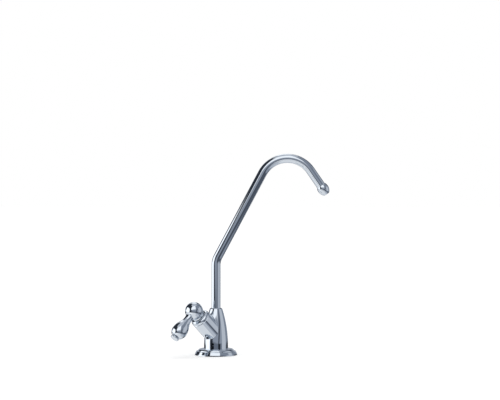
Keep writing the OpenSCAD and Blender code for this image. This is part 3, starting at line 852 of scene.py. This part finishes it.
class TAP_OT_cast_fillet(bpy.types.Operator):
    """Rolls a fillet along the line where the valve's barrel leaves the column"""

    bl_idname = "tap.cast_fillet"
    bl_label = "Cast fillet"

    def execute(self, context):
        sizes = context.scene.tap_sizes
        origin, axis, down, level = valve_axes()
        barrel = reach("valve_bonnet", origin, level)
        length = reach("tap_body", origin, axis)
        ball = sizes.fillet_radius
        sunk = FILLET_SUNK * ball
        arc = flank_radius(sizes)
        core = sizes.column_foot_radius - arc

        def column_way(p):
            """Direction out of the column at a point near it."""
            out = Vector((p.x, p.y, 0))
            rise = p.z - sizes.skirt_top
            if rise <= 0:
                return out.normalized()
            return (out.normalized() * (out.length - core) + Vector((0, 0, rise))).normalized()

        def clear(p):
            """Distance of a point from the column's flank."""
            out = math.hypot(p.x, p.y)
            rise = p.z - sizes.skirt_top
            return (out - core if rise <= 0 else math.hypot(out - core, rise)) - arc

        def root(centre, way, out):
            """Point inside the metal where the fillet's two hidden sides meet."""
            both = way + out
            return centre - both.normalized() * (ball + sunk) - both * sunk

        rows = []
        for i in range(FILLET_AROUND):
            angle = 2 * math.pi * i / FILLET_AROUND
            way = down * math.cos(angle) + level * math.sin(angle)
            low, high = 0.0, length
            for _ in range(FILLET_HALVINGS):
                middle = (low + high) / 2
                if clear(origin + axis * middle + way * (barrel + ball)) < ball:
                    low = middle
                else:
                    high = middle
            centre = origin + axis * high + way * (barrel + ball)
            out = column_way(centre)
            across = [way.slerp(out, k / FILLET_STEPS) for k in range(FILLET_STEPS + 1)]
            rows.append((centre, across, way, out))
        skin = Skin()
        for row, next_row in zip(rows, rows[1:] + rows[:1]):
            centre, across, way, out = row
            next_centre, next_across, next_way, next_out = next_row
            here = [centre - w * ball for w in across]
            there = [next_centre - w * ball for w in next_across]
            skin.band(here, there, across, next_across, closed=False)
            roots = [root(next_centre, next_way, next_out), root(centre, way, out)]
            for k, side, next_side in ((0, way, next_way), (-1, out, next_out)):
                skin.face([here[k], there[k]] + roots, [-side, -next_side, -next_side, -side])
        dress(skin.make("barrel_fillet"), "base", "chrome")
        return {"FINISHED"}


class TAP_OT_cut_shank(bpy.types.Operator):
    """Cuts a helical thread on the shank, with its relief, bore and chamfered end"""

    bl_idname = "tap.cut_shank"
    bl_label = "Cut shank"

    # Place along one turn of the thread, and share of the thread's depth, at each edge of its form
    form = ((0.0, 0.0), (0.14, 0.0), (0.44, 1.0), (0.66, 1.0), (0.96, 0.0))

    def execute(self, context):
        sizes = context.scene.tap_sizes
        low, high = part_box("threaded_shank")
        radius, foot, top = high.x, low.z, high.z
        relief, bore = radius - sizes.relief_depth, sizes.shank_bore_radius
        skin = Skin()
        for start, end in ((foot, sizes.relief_low), (sizes.relief_high, top)):
            self.cut_thread(skin, sizes, radius, start, end, foot)
        sleeve(skin, relief, sizes.relief_low, sizes.relief_high, 1)
        sleeve(skin, bore, foot, top, -1)
        for z, facing, rim in (
            (foot, -1, bore),
            (sizes.relief_low, 1, relief),
            (sizes.relief_high, -1, relief),
            (top, 1, bore),
        ):
            self.close_end(skin, sizes, radius, z, facing, rim, foot)
        dress(skin.make("shank_thread"), "base", "brass", "threaded_shank")
        return {"FINISHED"}

    def radius_at(self, sizes, radius, z, turn, foot):
        """Radius of the thread at a height and an angle, the angle in turns."""
        place = (z / sizes.thread_pitch - turn) % 1.0
        edges = self.form + ((1.0, 0.0),)
        for (a, depth_a), (b, depth_b) in zip(edges, edges[1:]):
            if place <= b:
                depth = depth_a + (depth_b - depth_a) * (place - a) / (b - a)
                break
        cut = radius - depth * sizes.thread_depth
        return min(cut, radius - sizes.shank_chamfer + (z - foot))

    def cut_thread(self, skin, sizes, radius, start, end, foot):
        """Adds the thread's flanks between two heights."""
        first = math.floor(start / sizes.thread_pitch) - 1
        last = math.ceil(end / sizes.thread_pitch) + 1
        levels = [turn + place for turn in range(first, last) for place, _ in self.form]
        rows = []
        for level in levels:
            row = []
            for i in range(AROUND + 1):
                turn = i / AROUND
                z = min(max((level + turn) * sizes.thread_pitch, start), end)
                r = self.radius_at(sizes, radius, z, turn, foot)
                angle = 2 * math.pi * turn
                row.append(Vector((r * math.cos(angle), r * math.sin(angle), z)))
            rows.append(row)
        for low, high in zip(rows, rows[1:]):
            for i in range(AROUND):
                corners = [low[i], low[i + 1], high[i + 1], high[i]]
                slant = (high[i] - low[i + 1]).cross(low[i] - high[i + 1])
                side = Vector((low[i].x, low[i].y, 0)).normalized()
                if slant.length < SMALLEST_FACE:
                    continue
                slant.normalize()
                skin.face(corners, [slant if slant.dot(side) > 0 else -slant] * 4)

    def close_end(self, skin, sizes, radius, z, facing, rim, foot):
        """Closes the thread at one height, from its cut edge to a rim, facing up (1) or down (-1)."""
        edge, inner = [], []
        for i in range(AROUND):
            turn = i / AROUND
            out = Vector((math.cos(2 * math.pi * turn), math.sin(2 * math.pi * turn), 0))
            edge.append(out * self.radius_at(sizes, radius, z, turn, foot) + Vector((0, 0, z)))
            inner.append(out * rim + Vector((0, 0, z)))
        flat = [Vector((0, 0, facing))] * AROUND
        skin.band(edge, inner, flat, flat)


def slot_of(node):
    """The record's slot that a node takes its finish from."""
    parts = frame["record"]["subparts"]
    return next(p["material_slot"] for p in parts if p["node"] == node)


def polish(node, slot):
    """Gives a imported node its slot's finish."""
    obj = frame["nodes"][node]
    obj.data.materials.clear()
    obj.data.materials.append(finish(slot))


class TAP_OT_plate_outside(bpy.types.Operator):
    """Chromes the pieces that show above the deck"""

    bl_idname = "tap.plate_outside"
    bl_label = "Chromed pieces"

    def execute(self, context):
        for node in frame["nodes"]:
            if slot_of(node) == "chrome":
                polish(node, "chrome")
        return {"FINISHED"}


class TAP_OT_finish_inside(bpy.types.Operator):
    """Gives the valve, the seals, the shank and the clamp their brass, rubber, ceramic, steel and plastic"""

    bl_idname = "tap.finish_inside"
    bl_label = "Inner pieces"

    def execute(self, context):
        for node in frame["nodes"]:
            if slot_of(node) != "chrome":
                polish(node, slot_of(node))
        return {"FINISHED"}


# Studio

# Reflected cards, the nearest last. Each row has a name, the azimuth of the middle and the half width, the
# elevation of the middle and the half height, the corner radius, the soft edge and the rise of elevation
# across the width, all in degrees, and the level of light. Azimuth is round the tap from the camera's side,
# positive to the right. Mirrors don't see the floor, so they see the cards below the horizon too.
CARDS = (
    ("top_cover", 0, 180, 80, 15, 2, 8, 0, 0.7),
    ("back_wall", 195, 35, 5, 30, 10, 5, -15, 0.5),
    ("right_floor", 115, 90, -40, 25, 20, 2, 0, 0.75),
    ("right_wall", 90, 70, 25, 45, 10, 5, 5, 0.38),
    ("front_wall", 30, 95, -5, 25, 8, 5, -50, 0.45),
    ("left_flag", -90, 65, 35, 35, 20, 5, -10, 0.05),
    ("left_edge_flag", -45, 15, 2, 15, 5, 3, 15, 0.08),
    ("horizon_flag", 0, 50, -8, 6, 2, 5, -5, 0.01),
    ("right_horizon_flag", 80, 65, -20, 8, 8, 3, -15, 0.15),
    ("right_edge_flag", 35, 15, 8, 10, 2, 5, 45, 0.05),
    ("back_box", 175, 25, 45, 15, 2, 5, 0, 1.65),
    ("right_panel", 85, 27, 12, 25, 5, 5, 10, 0.75),
    ("front_box", -5, 34, 45, 23, 10, 2, 15, 1.35),
    ("left_box", -87, 30, 10, 21, 20, 0.5, -2, 1.6),
    ("back_floor_flag", 180, 65, -9, 5, 2, 2, 0, 0.05),
    ("left_floor_box", -50, 30, -25, 10, 5, 5, 0, 1.25),
    ("right_back_flag", 145, 28, 35, 15, 5, 5, 0, 0.1),
)

# Thin dark strips just under the horizon, for the column's foot: name, azimuth, half width and level of light
FOOT_STRIPS = (
    ("foot_front", 16, 40, 0.25),
    ("foot_flag", -30, 12, 0.01),
    ("foot_edge_flag", 31, 10, 0.02),
)

# Elevation, half height, corner radius, soft edge and rise of every strip, in degrees
STRIP_SHAPE = (-5, 2.4, 0.1, 0.2, 0)


def card_cover(across, up, half_width, half_height, corner, soft):
    """How solid a card is at a place on it: 1 inside, fading to 0 at its rounded outline."""
    x, y = abs(across) - half_width + corner, abs(up) - half_height + corner
    outside = math.hypot(max(x, 0.0), max(y, 0.0)) + min(max(x, y), 0.0) - corner
    return min(1.0, max(0.0, -outside / soft))


def card_material(name, level):
    """A glow that lets what is behind it show where the card's cover fades."""
    material = bpy.data.materials.new(name)
    tools = node_tools(material)
    cover = tools.add("ShaderNodeAttribute", {"attribute_name": "cover"}).outputs["Fac"]
    grey = Vector(bpy.context.scene.tap_studio.grey_card)
    tint = grey.lerp(Vector(WHITE[:3]), min(level, 1.0))
    glow = tools.add("ShaderNodeEmission", Color=(*tint, 1.0), Strength=level).outputs[0]
    clear = tools.add("ShaderNodeBsdfTransparent").outputs[0]
    tools.add("ShaderNodeOutputMaterial", Surface=tools.combine("ShaderNodeMixShader", cover, clear, glow))
    return material


def card(name, azimuth, half_width, elevation, half_height, corner, soft, rise, level, eye, distance):
    """A curved card that only mirrors see, fading out at its edges."""
    columns = max(FEWEST_CELLS, round(half_width))
    rows = max(FEWEST_CELLS, round(half_height))
    points, cover, faces = [], [], []
    for i in range(columns + 1):
        across = half_width * (2 * i / columns - 1)
        middle = elevation + rise * across / (2 * half_width)
        turn = math.radians(azimuth + across)
        for j in range(rows + 1):
            up = half_height * (2 * j / rows - 1)
            lift = math.radians(min(middle + up, HIGHEST))
            way = Vector((math.sin(turn) * math.cos(lift), -math.cos(turn) * math.cos(lift), math.sin(lift)))
            points.append(Vector((0, 0, eye)) + way * distance)
            cover.append(card_cover(across, up, half_width, half_height, corner, soft))
    for i in range(columns):
        for j in range(rows):
            k = i * (rows + 1) + j
            faces.append((k, k + 1, k + rows + 2, k + rows + 1))
    mesh = bpy.data.meshes.new(name)
    mesh.from_pydata(points, [], faces)
    mesh.attributes.new("cover", "FLOAT", "POINT").data.foreach_set("value", cover)
    mesh.materials.append(card_material(name, level))
    obj = bpy.data.objects.new(name, mesh)
    bpy.context.scene.collection.objects.link(obj)
    obj.visible_camera = False
    obj.visible_diffuse = False
    obj.visible_shadow = False


def seen_directly(tools):
    """1 for rays from the camera, a mirror or glass, 0 for rays that carry soft light."""
    path = tools.add("ShaderNodeLightPath").outputs
    either = tools.sums("MAXIMUM", path["Is Camera Ray"], path["Is Glossy Ray"])
    return tools.sums("MAXIMUM", either, path["Is Transmission Ray"])


class TAP_OT_studio(bpy.types.Operator):
    """Sets the floor, the white world, the lamp, the reflected cards and the camera"""

    bl_idname = "tap.studio"
    bl_label = "Studio"

    def execute(self, context):
        scene = context.scene
        studio = scene.tap_studio
        scene.view_settings.view_transform = "Standard"
        self.world(scene, studio)
        self.floor(scene, studio)
        self.lamp(scene, studio)
        for order, row in enumerate(CARDS):
            card(*row, studio.card_eye, studio.card_distance - CARD_SPACING * order)
        for order, (name, azimuth, half_width, level) in enumerate(FOOT_STRIPS):
            distance = studio.strip_distance - STRIP_SPACING * order
            card(name, azimuth, half_width, *STRIP_SHAPE, level, studio.strip_eye, distance)
        self.camera(scene, studio)
        return {"FINISHED"}

    def world(self, scene, studio):
        """White where it is seen, and a softer fill for the tap."""
        scene.world = bpy.data.worlds.new("white_studio")
        tools = node_tools(scene.world)
        level = tools.spread(seen_directly(tools), 0.0, 1.0, studio.fill_level, 1.0)
        back = tools.add("ShaderNodeBackground", Color=WHITE, Strength=level)
        tools.add("ShaderNodeOutputWorld", Surface=back.outputs[0])

    def floor(self, scene, studio):
        """A wide pale floor that keeps the tap's shadow, hidden from mirrors."""
        middle = cad_box[0].lerp(cad_box[1], 0.5)
        corners = []
        for x, y in ((-1, -1), (1, -1), (1, 1), (-1, 1)):
            corners.append((middle.x + x * FLOOR_HALF, middle.y + y * FLOOR_HALF, 0.0))
        mesh = bpy.data.meshes.new("floor")
        mesh.from_pydata(corners, [], [(0, 1, 2, 3)])
        material = bpy.data.materials.new("pale_floor")
        tools = node_tools(material)
        matt = tools.add("ShaderNodeBsdfDiffuse", Color=(*studio.floor_colour, 1.0)).outputs[0]
        lift = tools.sums("MULTIPLY", seen_directly(tools), studio.floor_lift)
        glow = tools.add("ShaderNodeEmission", Color=WHITE, Strength=lift).outputs[0]
        tools.add("ShaderNodeOutputMaterial", Surface=tools.combine("ShaderNodeAddShader", matt, glow))
        mesh.materials.append(material)
        obj = bpy.data.objects.new("floor", mesh)
        obj.visible_glossy = False
        scene.collection.objects.link(obj)

    def lamp(self, scene, studio):
        """One wide lamp that shines straight down."""
        data = bpy.data.lights.new("overhead_lamp", "SUN")
        data.angle = studio.lamp_angle
        data.energy = studio.lamp_level
        lamp = bpy.data.objects.new("overhead_lamp", data)
        lamp.visible_glossy = False
        scene.collection.objects.link(lamp)

    def camera(self, scene, studio):
        """A level camera with the photograph's view."""
        data = bpy.data.cameras.new("camera")
        camera = bpy.data.objects.new("camera", data)
        camera.location = studio.camera_place
        camera.rotation_euler = (LEVEL_VIEW, 0, 0)
        data.sensor_fit = "HORIZONTAL"
        data.lens = -studio.camera_place[1] * data.sensor_width / (IMAGE_WIDTH * studio.pixel_size)
        scene.collection.objects.link(camera)
        scene.camera = camera


# Panel and registration

OPERATORS = (
    TAP_OT_plate_outside,
    TAP_OT_finish_inside,
    TAP_OT_swan_neck,
    TAP_OT_cast_fillet,
    TAP_OT_cut_shank,
    TAP_OT_studio,
)


class TAP_PT_dressing(bpy.types.Panel):
    """Lists the steps that dress the tap, and its sizes, finishes and studio"""

    bl_idname = "TAP_PT_dressing"
    bl_label = "Filter Tap"
    bl_space_type = "VIEW_3D"
    bl_region_type = "UI"
    bl_category = "Tap"

    def draw(self, context):
        column = self.layout.column()
        for operator in OPERATORS:
            column.operator(operator.bl_idname)
        for settings in (context.scene.tap_sizes, context.scene.tap_finish, context.scene.tap_studio):
            box = self.layout.box()
            for name in settings.__annotations__:
                box.prop(settings, name)


CLASSES = (TapSizes, TapFinish, TapStudio) + OPERATORS + (TAP_PT_dressing,)


def register():
    """Adds the classes and the scene's settings."""
    for cls in CLASSES:
        bpy.utils.register_class(cls)
    bpy.types.Scene.tap_sizes = PointerProperty(type=TapSizes)
    bpy.types.Scene.tap_finish = PointerProperty(type=TapFinish)
    bpy.types.Scene.tap_studio = PointerProperty(type=TapStudio)


def unregister():
    """Takes the scene's settings and the classes away again."""
    del bpy.types.Scene.tap_studio
    del bpy.types.Scene.tap_finish
    del bpy.types.Scene.tap_sizes
    for cls in reversed(CLASSES):
        bpy.utils.unregister_class(cls)


def main():
    """Dresses the tap step by step."""
    register()
    bpy.ops.tap.plate_outside()
    bpy.ops.tap.finish_inside()
    bpy.ops.tap.swan_neck()
    bpy.ops.tap.cast_fillet()
    bpy.ops.tap.cut_shank()
    bpy.ops.tap.studio()


if __name__ == "__main__":
    main()
